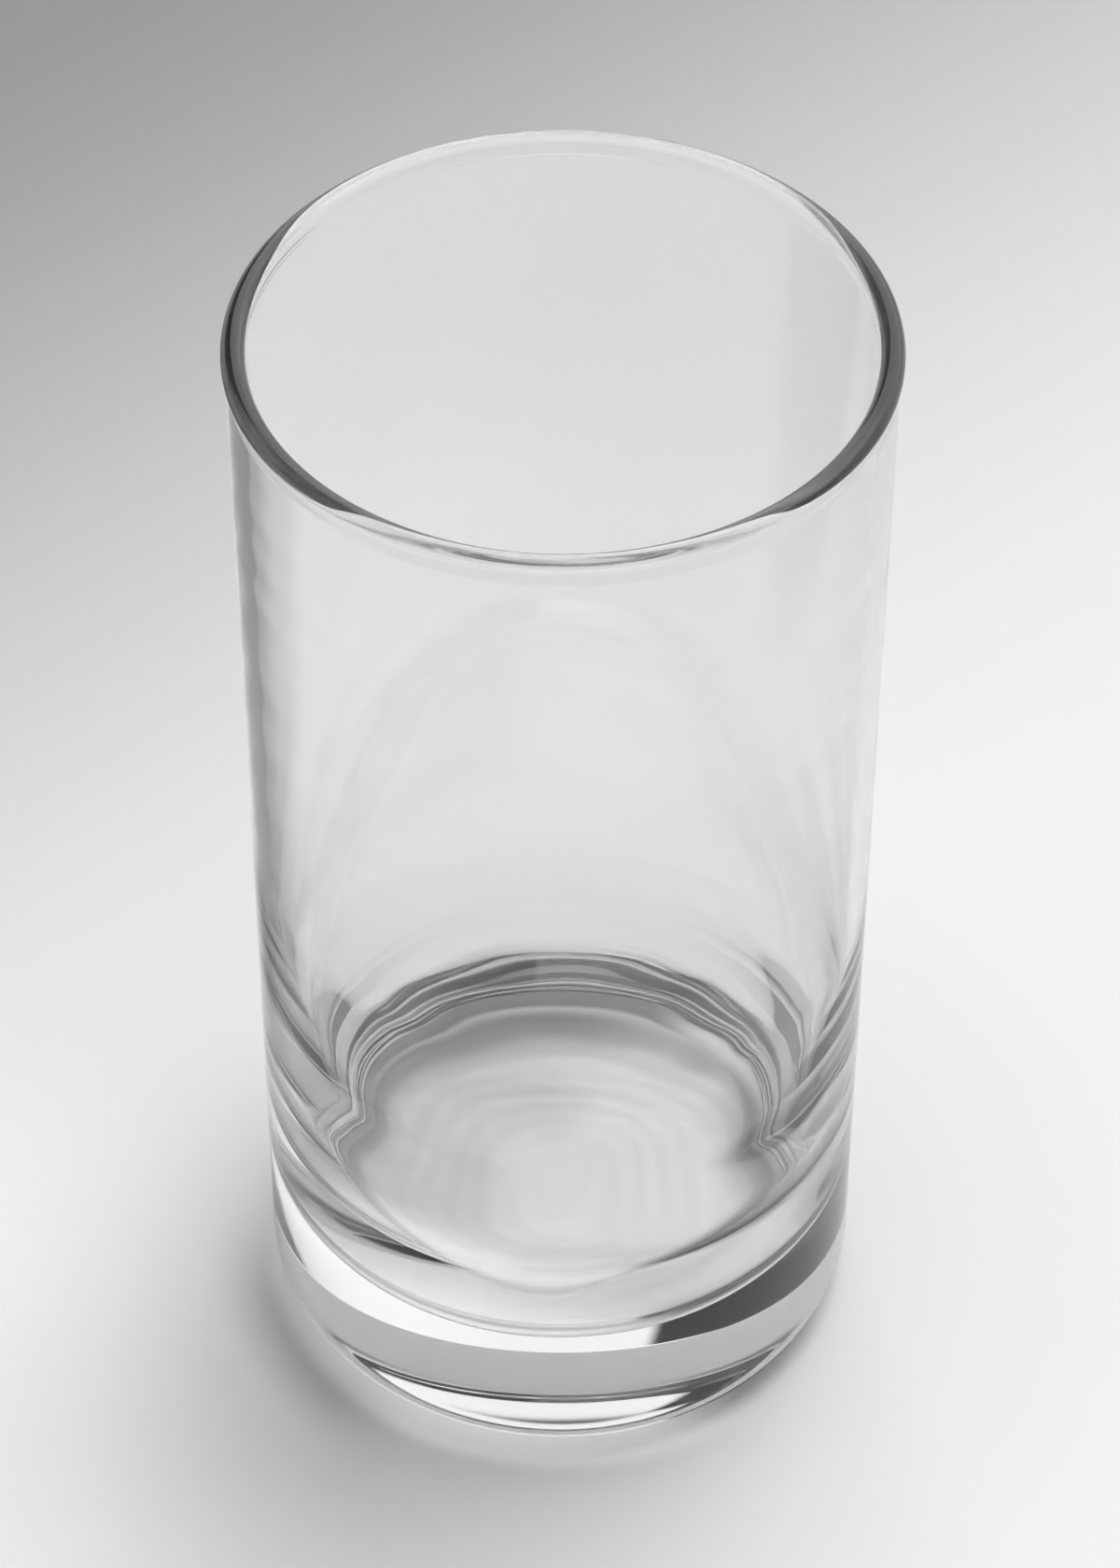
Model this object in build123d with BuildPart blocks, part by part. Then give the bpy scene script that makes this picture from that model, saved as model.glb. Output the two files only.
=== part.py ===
from build123d import *
from math import atan2, cos, sin, tan
import os

os.makedirs("parts", exist_ok=True)

# A straight-sided juice glass with a heavy base, in millimetres. It stands on Z = 0.
glass_height = 111.6
wall_diameter = 54.4  # outside, over the straight side
wall_thickness = 1.5  # where the side is thinnest, in its upper half

rim_height = 2.6  # from the foot of the rounded bead to the lip
rim_bulge = 0.3  # how far the bead stands out past the side

floor_height = 11.6  # glass under the middle of the drink
floor_dish = 2.4  # how much higher the floor is at its edge
corner_radius = 5.8  # inside, between floor and side
base_lip = 0.6  # how far the base zone runs up the side, past the inside corner

taper_width = 0.55  # how much the side thickens in its first soft bend inwards
taper_height = 14.5
wave_width = 0.28  # the settle wave below it, where the inside comes nearly upright again
wave_height = 6.4
flare_width = 1.3  # extra thickness of the side where it grows out of the base
flare_height = 13.3

heel_radius = 5.5  # outside, between the side and the underside
bearing_width = 2.0  # flat ring that touches the table
push_up = 0.6  # hollow in the middle of the underside

wall_radius = wall_diameter / 2
bore_radius = wall_radius - wall_thickness
taper_radius = bore_radius - taper_width  # inside, at the foot of the taper
wave_radius = taper_radius - wave_width  # inside, below the settle wave
foot_radius = wave_radius - flare_width  # inside, where the side meets the base
rim_start = glass_height - rim_height

base_top = floor_height + floor_dish + corner_radius + base_lip
flare_top = base_top + flare_height
wave_top = flare_top + wave_height
taper_top = wave_top + taper_height

# How far the inside leans in at the foot of each bend. The next bend starts with the same lean,
# and the last one is kept down to the floor.
taper_lean = 2 * atan2(taper_width, taper_height)
wave_lean = 2 * atan2(wave_width, wave_height) - taper_lean
foot_lean = 2 * atan2(flare_width, flare_height) - wave_lean
floor_edge_height = floor_height + floor_dish
floor_edge_radius = foot_radius - (base_top - floor_edge_height) * tan(foot_lean)

bearing_outer = wall_radius - heel_radius
bearing_inner = bearing_outer - bearing_width

# Heavy base: hollowed underside, rounded heel, dished floor with a rounded inside corner.
with BuildPart() as heavy_base:
    with BuildSketch(Plane.XZ) as base_section:
        with BuildLine():
            TangentArc((0, push_up), (bearing_inner, 0), tangent=(1, 0))
            Polyline(
                (bearing_inner, 0),
                (wall_radius, 0),
                (wall_radius, base_top),
                (foot_radius, base_top),
                (floor_edge_radius, floor_edge_height),
            )
            TangentArc((0, floor_height), (floor_edge_radius, floor_edge_height), tangent=(1, 0))
            Line((0, floor_height), (0, push_up))
        make_face()
        heel = base_section.vertices().sort_by_distance((wall_radius, 0))[0]
        fillet(heel, heel_radius)
        floor_edge = (floor_edge_radius, floor_edge_height)
        inside_corner = base_section.vertices().sort_by_distance(floor_edge)[0]
        fillet(inside_corner, corner_radius)
    revolve(axis=Axis.Z)

# Side: a straight tube whose inside tapers, settles in a soft wave and flares into the base.
taper_foot = (taper_radius, wave_top)
wave_foot = (wave_radius, flare_top)

with BuildPart() as side_wall:
    with BuildSketch(Plane.XZ):
        with BuildLine():
            TangentArc((bore_radius, taper_top), taper_foot, tangent=(0, -1))
            TangentArc(taper_foot, wave_foot, tangent=(-sin(taper_lean), -cos(taper_lean)))
            TangentArc(wave_foot, (foot_radius, base_top), tangent=(-sin(wave_lean), -cos(wave_lean)))
            Polyline(
                (foot_radius, base_top),
                (wall_radius, base_top),
                (wall_radius, rim_start),
                (bore_radius, rim_start),
                (bore_radius, taper_top),
            )
        make_face()
    revolve(axis=Axis.Z)

# Rim: a fire-polished bead, flush inside, bulging a little outside and round on top.
bead_radius = (wall_thickness + rim_bulge) / 2
bead_widest = glass_height - bead_radius
bead_outer = wall_radius + rim_bulge
flank_middle = (wall_radius + rim_bulge / 2, (rim_start + bead_widest) / 2)

with BuildPart() as rim_bead:
    with BuildSketch(Plane.XZ):
        with BuildLine():
            Line((wall_radius, rim_start), (bore_radius, rim_start))
            Line((bore_radius, rim_start), (bore_radius, bead_widest))
            ThreePointArc(
                (bore_radius, bead_widest),
                (bore_radius + bead_radius, glass_height),
                (bead_outer, bead_widest),
            )
            TangentArc((bead_outer, bead_widest), flank_middle, tangent=(0, -1))
            TangentArc((wall_radius, rim_start), flank_middle, tangent=(0, 1))
        make_face()
    revolve(axis=Axis.Z)

heavy_base.part.label = "heavy_base"
side_wall.part.label = "side_wall"
rim_bead.part.label = "rim_bead"

export_step(heavy_base.part, "parts/heavy_base.step")
export_step(side_wall.part, "parts/side_wall.step")
export_step(rim_bead.part, "parts/rim_bead.step")
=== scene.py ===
import math

import bmesh
import bpy
from mathutils import Matrix, Vector, noise


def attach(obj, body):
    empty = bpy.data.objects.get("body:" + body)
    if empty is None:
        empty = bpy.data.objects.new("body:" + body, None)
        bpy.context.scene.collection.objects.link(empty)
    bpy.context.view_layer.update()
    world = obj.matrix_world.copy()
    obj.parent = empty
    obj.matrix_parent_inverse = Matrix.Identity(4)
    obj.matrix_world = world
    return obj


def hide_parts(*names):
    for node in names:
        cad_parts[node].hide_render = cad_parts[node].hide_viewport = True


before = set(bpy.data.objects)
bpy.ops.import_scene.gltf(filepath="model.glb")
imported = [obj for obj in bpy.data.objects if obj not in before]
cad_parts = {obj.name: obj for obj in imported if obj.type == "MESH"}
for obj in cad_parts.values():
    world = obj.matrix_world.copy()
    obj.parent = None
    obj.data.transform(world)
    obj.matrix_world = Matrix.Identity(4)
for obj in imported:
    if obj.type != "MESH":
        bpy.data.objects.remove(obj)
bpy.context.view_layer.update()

lightBounces = 160  # light runs down inside the wall by many reflections
scene = bpy.context.scene
scene.view_settings.view_transform = "Standard"
scene.cycles.max_bounces = lightBounces
scene.cycles.transmission_bounces = lightBounces
scene.cycles.glossy_bounces = lightBounces
print("frame loaded")


# Builds a node tree. Inputs go by name, or by place as i0, i1 and so on. Sockets are linked, values set.
class NodeBench:
    def __init__(self, tree):
        self.tree = tree

    def add(self, kind, settings=None, **inputs):
        node = self.tree.nodes.new(kind)
        for name, value in (settings or {}).items():
            setattr(node, name, value)
        for name, value in inputs.items():
            byPlace = name[0] == "i" and name[1:].isdigit()
            socket = node.inputs[int(name[1:]) if byPlace else name]
            if isinstance(value, bpy.types.NodeSocket):
                self.tree.links.new(value, socket)
            else:
                socket.default_value = value
        return node

    def math(self, operation, a, b=0.0):
        return self.add("ShaderNodeMath", {"operation": operation}, i0=a, i1=b).outputs[0]

    def times(self, a, b):
        return self.math("MULTIPLY", a, b)

    def plus(self, a, b):
        return self.math("ADD", a, b)

    def smooth(self, value, low, high):  # 0 at low, 1 at high
        settings = {"interpolation_type": "SMOOTHSTEP"}
        return self.add("ShaderNodeMapRange", settings, Value=value, i1=low, i2=high).outputs[0]

    def window(self, value, edges):  # rises between the first two edges, falls between the last two
        rise = self.smooth(value, edges[0], edges[1])
        return self.times(rise, self.smooth(value, edges[3], edges[2]))

    def dimmer(self, mask, tone):  # 1 outside the mask, the tone inside it
        return self.math("SUBTRACT", 1, self.times(mask, 1 - tone))

    def mix(self, factor, a, b):
        return self.add("ShaderNodeMix", {"data_type": "RGBA"}, i0=factor, i6=a, i7=b).outputs[2]

    def scale(self, color, factor):
        settings = {"operation": "SCALE"}
        return self.add("ShaderNodeVectorMath", settings, Vector=color, Scale=factor).outputs["Vector"]

    def azimuth(self, axes):  # in degrees: 0 is behind the glass, 90 is to its right
        return self.math("DEGREES", self.math("ARCTAN2", axes.outputs["X"], axes.outputs["Y"]))


# The glass is one continuous shell: the CAD's three zones share its outline, in millimetres.
millimetre = 0.001
glassShape = {
    "height": 111.6,
    "wallRadius": 27.2,
    "wallThickness": 1.5,
    "rimHeight": 2.6,
    "rimBulge": 0.3,
    "rimInside": 0.22,  # the bead also stands in a little, over this height
    "rimInsideHeight": 2.2,
    "floorHeight": 11.6,
    "floorDish": 2.4,
    "cornerRadius": 5.8,
    "baseLip": 0.6,
    "bends": (  # width, height and steps of the taper, the settle wave and the flare
        (0.55, 14.5, 14),
        (0.28, 6.4, 10),
        (1.3, 13.3, 18),
    ),
    "heelRadius": 5.5,
    "bearingWidth": 2.0,
    "pushUp": 0.6,
    "waveDrop": 5.0,  # the settle wave stands this much lower on the right
    "waveFade": 25.0,  # and is level again this far above the bends
    "rippleDepth": 0.04,
    "rippleSize": 9.0,
    "rippleTop": 10.0,  # above the bends
    "rippleFade": 20.0,
    "ringDepth": 0.014,  # fine chill rings
    "ringPitch": 3.4,
    "ringLength": 22.0,
    "ringFadeLow": 40.0,
    "ringFadeHigh": 8.0,
    "edgeHold": 0.2,  # narrow strips keep the smooth shading true beside a bend
    "slack": 0.01,
    "steps": {
        "dome": 14,
        "bearing": 6,
        "heel": 18,
        "side": 6,
        "flank": 5,
        "lip": 24,
        "bore": 44,
        "foot": 3,
        "corner": 26,
        "floor": 20,
        "turn": 420,
    },
}


# Draws the outline point by point, in radius and height, and turns it about the upright axis.
class LathePen:
    def __init__(self, start):
        self.mesh = bmesh.new()
        self.tip = self.mesh.verts.new((start[0], 0, start[1]))

    def line(self, r, z, steps=1):
        begin = self.tip.co.copy()
        for step in range(1, steps + 1):
            made = bmesh.ops.extrude_vert_indiv(self.mesh, verts=[self.tip])
            self.tip = made["verts"][0]
            self.tip.co = begin.lerp(Vector((r, 0, z)), step / steps)

    def arc(self, center, angle, steps):
        made = bmesh.ops.spin(
            self.mesh, geom=[self.tip], cent=(center[0], 0, center[1]), axis=(0, 1, 0),
            angle=-angle, steps=steps, space=Matrix(),
        )
        self.tip = [part for part in made["geom_last"] if isinstance(part, bmesh.types.BMVert)][0]

    def turn(self, steps):
        bmesh.ops.spin(
            self.mesh, geom=self.mesh.verts[:] + self.mesh.edges[:], cent=(0, 0, 0), axis=(0, 0, 1),
            angle=2 * math.pi, steps=steps, use_merge=True, space=Matrix(),
        )
        bmesh.ops.remove_doubles(self.mesh, verts=self.mesh.verts[:], dist=1e-4)
        bmesh.ops.recalc_face_normals(self.mesh, faces=self.mesh.faces[:])


def ease(value):
    value = min(max(value, 0), 1)
    return value * value * (3 - 2 * value)


# Radii, heights and the lean at the foot of the side, worked out from the sizes above.
def glassMarks(shape):
    bore = shape["wallRadius"] - shape["wallThickness"]
    foot = bore - sum(width for width, height, steps in shape["bends"])
    floorEdge = shape["floorHeight"] + shape["floorDish"]
    baseTop = floorEdge + shape["cornerRadius"] + shape["baseLip"]
    lean = 0
    for width, height, steps in shape["bends"]:
        lean = 2 * math.atan2(width, height) - lean
    return {
        "bore": bore,
        "rimStart": shape["height"] - shape["rimHeight"],
        "rimEnd": shape["height"] - shape["rimInsideHeight"],
        "floorEdge": floorEdge,
        "floorEdgeRadius": foot - (baseTop - floorEdge) * math.tan(lean),
        "baseTop": baseTop,
        "flareTop": baseTop + shape["bends"][-1][1],
        "bendTop": baseTop + sum(height for width, height, steps in shape["bends"]),
        "lean": lean,
    }


# Underside, heel and straight side.
def drawOutside(pen, shape, marks):
    steps = shape["steps"]
    wall = shape["wallRadius"]
    bearingOuter = wall - shape["heelRadius"]
    bearingInner = bearingOuter - shape["bearingWidth"]
    domeRadius = (bearingInner ** 2 + shape["pushUp"] ** 2) / (2 * shape["pushUp"])
    pen.arc((0, shape["pushUp"] - domeRadius), -math.asin(bearingInner / domeRadius), steps["dome"])
    pen.line(bearingOuter, 0, steps["bearing"])
    pen.arc((bearingOuter, shape["heelRadius"]), math.pi / 2, steps["heel"])
    pen.line(wall, shape["heelRadius"] + shape["edgeHold"])
    pen.line(wall, marks["rimStart"] - shape["edgeHold"], steps["side"])
    pen.line(wall, marks["rimStart"])


# Two arcs that bend out and back again take up a flank of the rim bead.
def flankArc(width, height):
    angle = 2 * math.atan2(width, height)
    return angle, height / 2 / math.sin(angle)


# Rim bead: up one flank, half a turn over the lip, down the other flank.
def drawRim(pen, shape, marks):
    steps = shape["steps"]
    wall = shape["wallRadius"]
    proud = wall + shape["rimBulge"]
    throat = marks["bore"] - shape["rimInside"]
    beadRadius = (proud - throat) / 2
    beadWidest = shape["height"] - beadRadius
    angle, radius = flankArc(shape["rimBulge"], beadWidest - marks["rimStart"])
    pen.arc((wall + radius, marks["rimStart"]), -angle, steps["flank"])
    pen.arc((proud - radius, beadWidest), angle, steps["flank"])
    pen.arc((throat + beadRadius, beadWidest), math.pi, steps["lip"])
    angle, radius = flankArc(shape["rimInside"], beadWidest - marks["rimEnd"])
    pen.arc((throat + radius, beadWidest), angle, steps["flank"])
    pen.arc((marks["bore"] - radius, marks["rimEnd"]), -angle, steps["flank"])


# Inside: straight bore, soft bends, rounded corner, dished floor.
def drawInside(pen, shape, marks):
    steps = shape["steps"]
    pen.line(marks["bore"], marks["rimEnd"] - shape["edgeHold"])
    pen.line(marks["bore"], marks["bendTop"] + shape["edgeHold"], steps["bore"])
    pen.line(marks["bore"], marks["bendTop"])
    before = 0
    for width, height, bendSteps in shape["bends"]:
        after = 2 * math.atan2(width, height) - before
        bend = height / (math.sin(after) - math.sin(before))
        middle = (pen.tip.co.x - bend * math.cos(before), pen.tip.co.z + bend * math.sin(before))
        pen.arc(middle, before - after, bendSteps)
        before = after

    # the corner touches the leaning side and the dish of the floor
    dishRadius = (marks["floorEdgeRadius"] ** 2 + shape["floorDish"] ** 2) / (2 * shape["floorDish"])
    dishMiddle = Vector((0, shape["floorHeight"] + dishRadius))
    along = Vector((math.sin(marks["lean"]), math.cos(marks["lean"])))
    inward = Vector((-along.y, along.x))
    start = Vector((marks["floorEdgeRadius"], marks["floorEdge"])) + inward * shape["cornerRadius"]
    away = start - dishMiddle
    reach = (dishRadius - shape["cornerRadius"]) ** 2 - away.length_squared + away.dot(along) ** 2
    center = start + along * (-away.dot(along) - math.sqrt(reach))
    cornerTop = center - inward * shape["cornerRadius"]
    toFloor = (center - dishMiddle).normalized()
    pen.line(cornerTop.x, cornerTop.y, steps["foot"])
    pen.arc(center, -(-inward).angle(toFloor), steps["corner"])
    pen.arc(dishMiddle, -math.asin(toFloor.x), steps["floor"])


# Air and plunger shaped the inside: a tilted settle wave, soft ripples and fine chill rings.
def unevenInside(mesh, shape, marks):
    mesh.normal_update()
    lowest = shape["floorHeight"] - shape["slack"]
    widest = marks["bore"] + shape["slack"]
    rippleTop = marks["bendTop"] + shape["rippleTop"]
    waveTop = marks["bendTop"] + shape["waveFade"]
    for point in mesh.verts:
        if point.co.z < lowest or point.co.xy.length > widest:
            continue
        spot = point.co.copy()
        ripple = shape["rippleDepth"] * noise.noise(spot / shape["rippleSize"])
        ripple *= ease((rippleTop - spot.z) / shape["rippleFade"])
        length, pitch = shape["ringLength"], shape["ringPitch"]
        ring = shape["ringDepth"] * noise.noise((spot.x / length, spot.y / length, spot.z / pitch))
        ring *= ease((spot.z - marks["baseTop"]) / shape["ringFadeLow"])
        ring *= ease((marks["rimEnd"] - spot.z) / shape["ringFadeHigh"])
        point.co += point.normal * (ripple + ring)
        drop = shape["waveDrop"] * (0.5 + 0.5 * spot.x / marks["bore"])
        drop *= ease((spot.z - marks["baseTop"]) / (marks["flareTop"] - marks["baseTop"]))
        drop *= ease((waveTop - spot.z) / shape["waveFade"])
        point.co.z -= drop


def makeGlass(shape):
    marks = glassMarks(shape)
    pen = LathePen((0, shape["pushUp"]))
    drawOutside(pen, shape, marks)
    drawRim(pen, shape, marks)
    drawInside(pen, shape, marks)
    pen.turn(shape["steps"]["turn"])
    unevenInside(pen.mesh, shape, marks)
    bmesh.ops.scale(pen.mesh, vec=(millimetre, millimetre, millimetre), verts=pen.mesh.verts[:])

    data = bpy.data.meshes.new("glass")
    pen.mesh.to_mesh(data)
    pen.mesh.free()
    data.shade_smooth()
    glass = bpy.data.objects.new("glass", data)
    scene.collection.objects.link(glass)
    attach(glass, "root")
    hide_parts("heavy_base", "side_wall", "rim_bead")
    print("glass mesh:", len(data.vertices), "points")
    return glass


glassLook = {
    "ior": 1.52,
    "tint": (0.66, 0.668, 0.668, 1),
    "density": 23.0,
}


def makeGlassMaterial(look):
    material = bpy.data.materials.new("clearGlass")
    material.use_nodes = True
    tree = material.node_tree
    tree.nodes.clear()
    bench = NodeBench(tree)
    shader = bench.add("ShaderNodeBsdfPrincipled", Roughness=0, IOR=look["ior"])
    shader.inputs["Base Color"].default_value = (1, 1, 1, 1)
    shader.inputs["Transmission Weight"].default_value = 1
    volume = bench.add("ShaderNodeVolumeAbsorption", Color=look["tint"], Density=look["density"])
    bench.add("ShaderNodeOutputMaterial", Surface=shader.outputs["BSDF"], Volume=volume.outputs["Volume"])
    return material


glass = makeGlass(glassShape)
glass.data.materials.append(makeGlassMaterial(glassLook))


# Pale table, wide enough to fill every view. Lengths are in metres, radii start at the glass's axis.
floorLook = {
    "size": 3,
    "gap": 0.00005,  # under the bearing ring
    "roughness": 0.9,
    # seen directly: pale in front, painted shade darker towards the back left, painted light paler at the
    # left front, and a painted shadow at the heel
    "front": (0.88, 0.88, 0.88, 1),
    "backShade": (0.285, 0.295, 0.29, 1),
    "backSlant": -0.85,
    "backFade": (0.01, 0.28),
    "left": (1, 1, 1, 1),
    "leftAcross": (-0.022, -0.046),
    "leftDepth": (0.03, -0.01),
    # painted contact shadow beside the heel, seen directly
    "heelShadow": ((0.020, 0.022, 0.0265, 0.034), (-155, -130, -112, -80), 0.6),  # radius, azimuth, tone
    # as the glass shows it: paler under the base with painted light, painted shadow arcs at the heel,
    # painted shade to the back left
    "pale": (0.80, 0.782, 0.794, 1),
    "away": (0.70, 0.682, 0.694, 1),
    "awayFade": (0.08, 0.15),
    "under": (0.98, 0.97, 0.97, 1),
    "underEdge": (0.0245, 0.0205),
    # painted shadows: dark arcs where the heel meets the table and on the disc under it
    "rings": (  # radius, azimuth, tone
        ((0.0256, 0.0264, 0.0275, 0.0293), (-80, -50, 20, 35), 0.3),
        ((0.019, 0.0225, 0.0245, 0.0258), (-105, -80, 0, 30), 0.55),
        ((0.016, 0.0215, 0.026, 0.028), (45, 80, 140, 160), 0.5),
        ((0.025, 0.0265, 0.029, 0.0315), (-130, -110, -80, -60), 0.7),
        ((0.003, 0.010, 0.019, 0.0225), (-120, -85, -5, 30), 0.84),
    ),
    # painted shade on the table to the back left, as the glass shows it
    "backLeftShade": 0.4,
    "darkSlant": 0.2,
    "darkAcross": (-0.030, -0.047),
    "darkDepth": (0.005, 0.03),
    # painted light: the floor glows with the light that the heavy base gathers under itself, and more of it
    # at the front left
    "gathered": 0.3,
    "gatheredEven": 0.5,
    "blotch": 0.9,
    "blotchScale": 85.0,
    "circles": 0.18,
    "circleScale": 110.0,
    "circleBend": 2.0,
    "patternDetail": 2.0,
    "gatheredFront": 0.34,
    "frontSlant": 0.5,
    "frontDepth": (-0.009, -0.021),
    "frontEdge": (0.029, 0.025),
    # far off, one tone for both
    "far": (0.75, 0.75, 0.75, 1),
    "farFade": (0.23, 0.5),
}


def tableSpot(bench):
    place = bench.add("ShaderNodeTexCoord").outputs["Object"]
    axes = bench.add("ShaderNodeSeparateXYZ", Vector=place)
    return {
        "place": place,
        "x": axes.outputs["X"],
        "y": axes.outputs["Y"],
        "radius": bench.add("ShaderNodeVectorMath", {"operation": "LENGTH"}, i0=place).outputs["Value"],
        "azimuth": bench.azimuth(axes),
    }


def tableArc(bench, spot, radii, angles):
    return bench.times(bench.window(spot["radius"], radii), bench.window(spot["azimuth"], angles))


def directTone(bench, spot, look):
    # painted shade: the floor darkens towards the back left, where the light falls off
    along = bench.plus(spot["y"], bench.times(spot["x"], look["backSlant"]))
    tone = bench.mix(bench.smooth(along, *look["backFade"]), look["front"], look["backShade"])
    # painted light: the floor is paler at the left front, thinning the cast shadow there
    left = bench.smooth(spot["x"], *look["leftAcross"])
    left = bench.times(left, bench.smooth(spot["y"], *look["leftDepth"]))
    tone = bench.mix(left, tone, look["left"])
    # painted contact shadow at the heel
    radii, angles, shadow = look["heelShadow"]
    return bench.scale(tone, bench.dimmer(tableArc(bench, spot, radii, angles), shadow))


def seenDim(bench, spot, look):
    # painted shade to the back left, as the glass shows the table
    side = bench.plus(spot["x"], bench.times(spot["y"], look["darkSlant"]))
    side = bench.smooth(side, *look["darkAcross"])
    side = bench.times(side, bench.smooth(spot["y"], *look["darkDepth"]))
    dim = bench.dimmer(side, look["backLeftShade"])
    # painted shadow arcs under and beside the heel
    for radii, angles, tone in look["rings"]:
        dim = bench.times(dim, bench.dimmer(tableArc(bench, spot, radii, angles), tone))
    return dim


def seenTone(bench, spot, look, under, dim):
    away = bench.smooth(spot["radius"], *look["awayFade"])
    tone = bench.mix(away, look["pale"], look["away"])
    # painted light: paler under the base, where the base gathers light
    return bench.scale(bench.mix(under, tone, look["under"]), dim)


def gatheredLight(bench, spot, look, under, dim):
    # painted caustics: soft blotches and circles in the glow under the base
    blotch = bench.add(
        "ShaderNodeTexNoise", Vector=spot["place"], Scale=look["blotchScale"], Detail=look["patternDetail"],
    )
    circles = bench.add(
        "ShaderNodeTexWave", {"wave_type": "RINGS", "rings_direction": "Z"}, Vector=spot["place"],
        Scale=look["circleScale"], Distortion=look["circleBend"], Detail=look["patternDetail"],
    )
    uneven = bench.plus(
        bench.times(blotch.outputs["Fac"], look["blotch"]),
        bench.times(circles.outputs["Fac"], look["circles"]),
    )
    gathered = bench.times(under, look["gathered"])
    gathered = bench.times(gathered, bench.plus(uneven, look["gatheredEven"]))
    gathered = bench.times(gathered, dim)
    front = bench.plus(spot["y"], bench.times(spot["x"], look["frontSlant"]))
    front = bench.smooth(front, *look["frontDepth"])
    front = bench.times(front, bench.smooth(spot["radius"], *look["frontEdge"]))
    return bench.plus(gathered, bench.times(front, look["gatheredFront"]))


def makePaper(look):
    material = bpy.data.materials.new("paper")
    material.use_nodes = True
    tree = material.node_tree
    bench = NodeBench(tree)
    spot = tableSpot(bench)
    under = bench.smooth(spot["radius"], *look["underEdge"])
    dim = seenDim(bench, spot, look)
    direct = bench.add("ShaderNodeLightPath").outputs["Is Camera Ray"]
    near = bench.mix(direct, seenTone(bench, spot, look, under, dim), directTone(bench, spot, look))
    far = bench.smooth(spot["radius"], *look["farFade"])
    shader = tree.nodes["Principled BSDF"]
    shader.inputs["Roughness"].default_value = look["roughness"]
    # painted light: the floor glows under the base and at the front left
    shader.inputs["Emission Color"].default_value = look["under"]
    tree.links.new(bench.mix(far, near, look["far"]), shader.inputs["Base Color"])
    tree.links.new(gatheredLight(bench, spot, look, under, dim), shader.inputs["Emission Strength"])
    return material


def makeFloor(look):
    floorMesh = bmesh.new()
    bmesh.ops.create_grid(floorMesh, x_segments=1, y_segments=1, size=look["size"])
    bmesh.ops.translate(floorMesh, vec=(0, 0, -look["gap"]), verts=floorMesh.verts[:])
    data = bpy.data.meshes.new("floor")
    floorMesh.to_mesh(data)
    floorMesh.free()
    data.materials.append(makePaper(look))
    floor = bpy.data.objects.new("floor", data)
    scene.collection.objects.link(floor)
    print("floor ready")


makeFloor(floorLook)


# Studio, painted by direction, in degrees. The top and side lamps light the table only.
studio = {
    "room": (0.06, 0.066, 0.065, 1),
    "upper": (0.1, 0.1, 0.1, 1),
    "upperElevation": (34, 44),
    "behind": (0.018, 0.021, 0.02, 1),  # around the camera
    "behindWidth": (118, 132),
    "behindElevation": (8, 12, 34, 42),
    "flag": (0.014, 0.016, 0.016, 1),
    "flagAzimuth": (-92, -78, -20, -16),
    "flagElevation": (8, 14, 62, 70),
    "horizon": (0.72, 0.72, 0.72, 1),
    "horizonElevation": (13, 8),
    "panelLow": (1.65, 1.65, 1.65, 1),
    "panelLowAzimuth": (-20, -16, 30, 85),
    "panelLowElevation": (5, 12, 38, 42),
    "panel": (1.58, 1.58, 1.58, 1),
    "panelRight": (1.74, 1.74, 1.74, 1),
    "panelFade": (0, 45),
    "panelAzimuth": (-20, -16, 80, 92),
    "panelElevation": (34, 40, 59, 69),
    "top": (4.2, 4.2, 4.2, 1),
    "topAzimuth": (-200, -190, 190, 200),
    "topElevation": (68, 74, 95, 100),
    "side": (6.2, 6.2, 6.2, 1),
    "sideAzimuth": (5, 25, 85, 105),
    "sideElevation": (60, 66, 80, 86),
}


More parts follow.
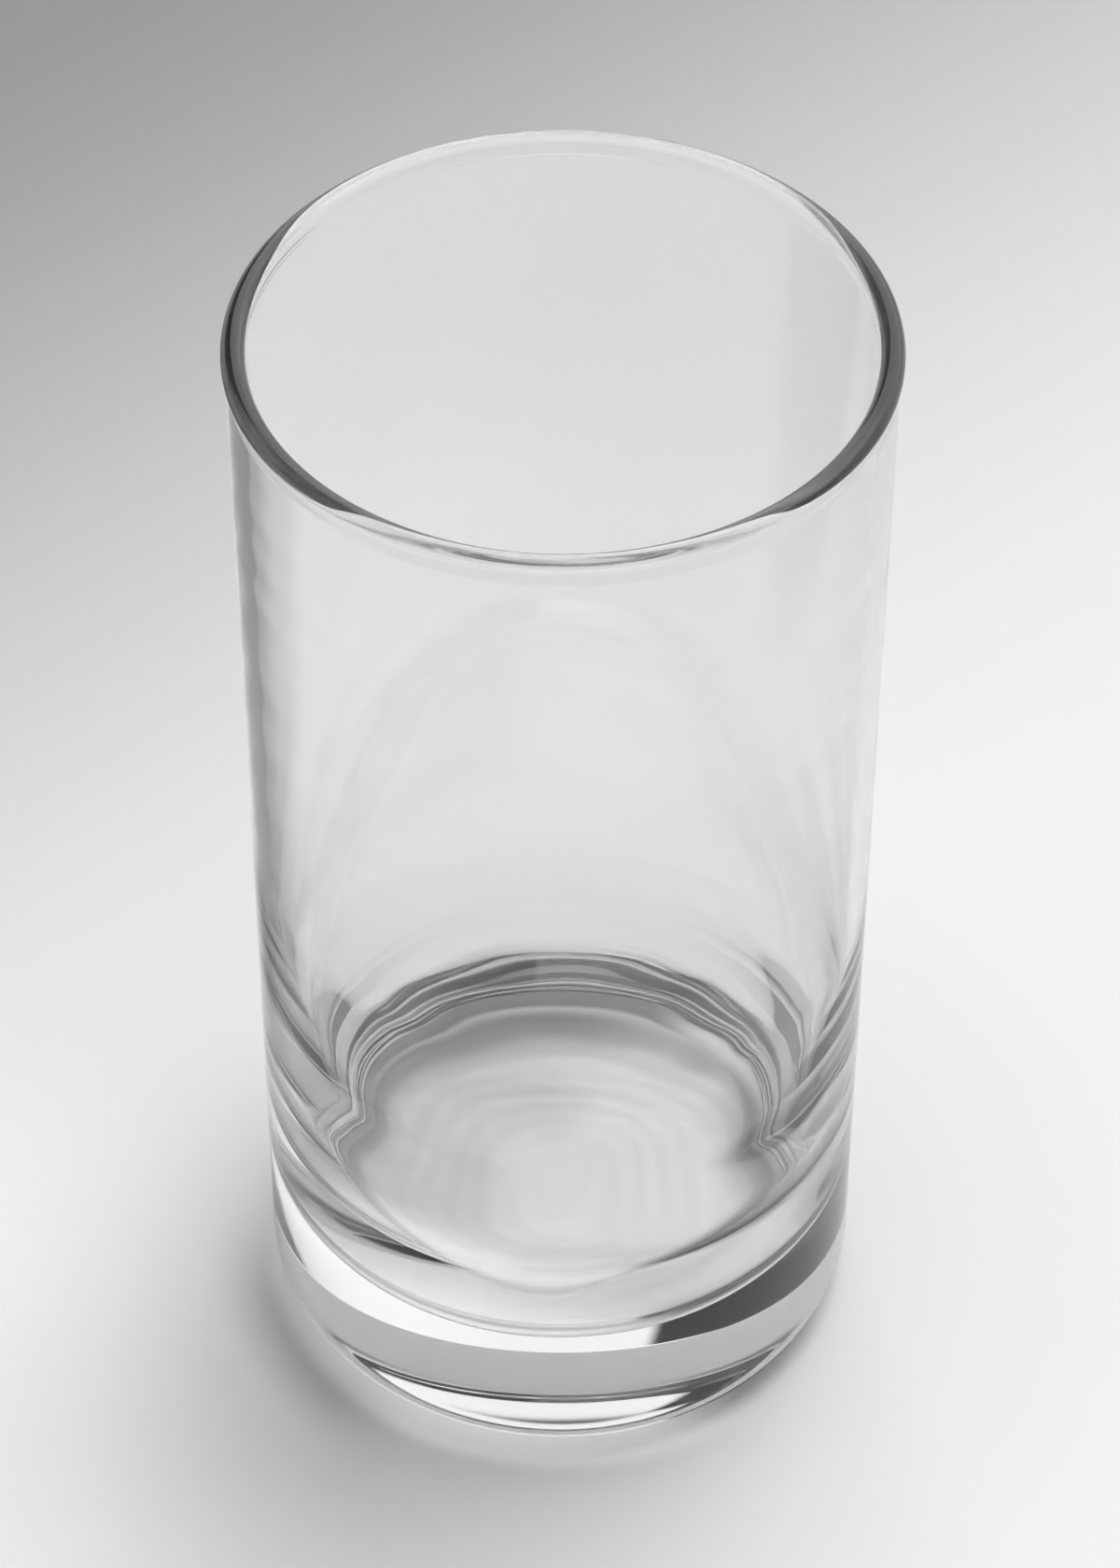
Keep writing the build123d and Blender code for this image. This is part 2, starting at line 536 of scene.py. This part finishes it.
def makeStudio(setup):
    world = bpy.data.worlds.new("studio")
    scene.world = world
    world.use_nodes = True
    world.node_tree.nodes.clear()
    bench = NodeBench(world.node_tree)
    direction = bench.add("ShaderNodeTexCoord").outputs["Generated"]
    axes = bench.add("ShaderNodeSeparateXYZ", Vector=direction)
    azimuth = bench.azimuth(axes)
    elevation = bench.math("DEGREES", bench.math("ARCSINE", axes.outputs["Z"]))

    def patch(name):
        across = bench.window(azimuth, setup[name + "Azimuth"])
        return bench.times(across, bench.window(elevation, setup[name + "Elevation"]))

    light = bench.mix(bench.smooth(elevation, *setup["upperElevation"]), setup["room"], setup["upper"])
    behind = bench.smooth(bench.math("ABSOLUTE", azimuth), *setup["behindWidth"])
    behind = bench.times(behind, bench.window(elevation, setup["behindElevation"]))
    light = bench.mix(behind, light, setup["behind"])
    light = bench.mix(patch("flag"), light, setup["flag"])
    light = bench.mix(bench.smooth(elevation, *setup["horizonElevation"]), light, setup["horizon"])
    light = bench.mix(patch("panelLow"), light, setup["panelLow"])
    panel = bench.mix(bench.smooth(azimuth, *setup["panelFade"]), setup["panel"], setup["panelRight"])
    light = bench.mix(patch("panel"), light, panel)
    bounced = bench.math("MINIMUM", bench.add("ShaderNodeLightPath").outputs["Diffuse Depth"], 1)
    for lamp in ("top", "side"):
        light = bench.mix(bench.times(patch(lamp), bounced), light, setup[lamp])
    sky = bench.add("ShaderNodeBackground", Color=light)
    bench.add("ShaderNodeOutputWorld", Surface=sky.outputs["Background"])
    print("studio ready")


makeStudio(studio)

cameraSetup = {
    "target": (-0.000124, 0, 0.06083),
    "distance": 0.43598,
    "elevation": 44.8445,
    "roll": 0.1803,
    "sensorHeight": 24,
    "focalPixels": 5350.22,  # focal length, measured in rows of the picture
    "pictureRows": 1680,
    "clipStart": 0.01,
}


def makeCamera(setup):
    data = bpy.data.cameras.new("camera")
    data.sensor_fit = "VERTICAL"
    data.sensor_height = setup["sensorHeight"]
    data.lens = setup["sensorHeight"] * setup["focalPixels"] / setup["pictureRows"]
    data.clip_start = setup["clipStart"]
    camera = bpy.data.objects.new("camera", data)
    scene.collection.objects.link(camera)
    pitch = math.radians(90 - setup["elevation"])
    turn = Matrix.Rotation(pitch, 4, "X") @ Matrix.Rotation(math.radians(setup["roll"]), 4, "Z")
    place = Matrix.Translation(setup["target"])
    camera.matrix_world = place @ turn @ Matrix.Translation((0, 0, setup["distance"]))
    scene.camera = camera
    print("camera ready")


makeCamera(cameraSetup)
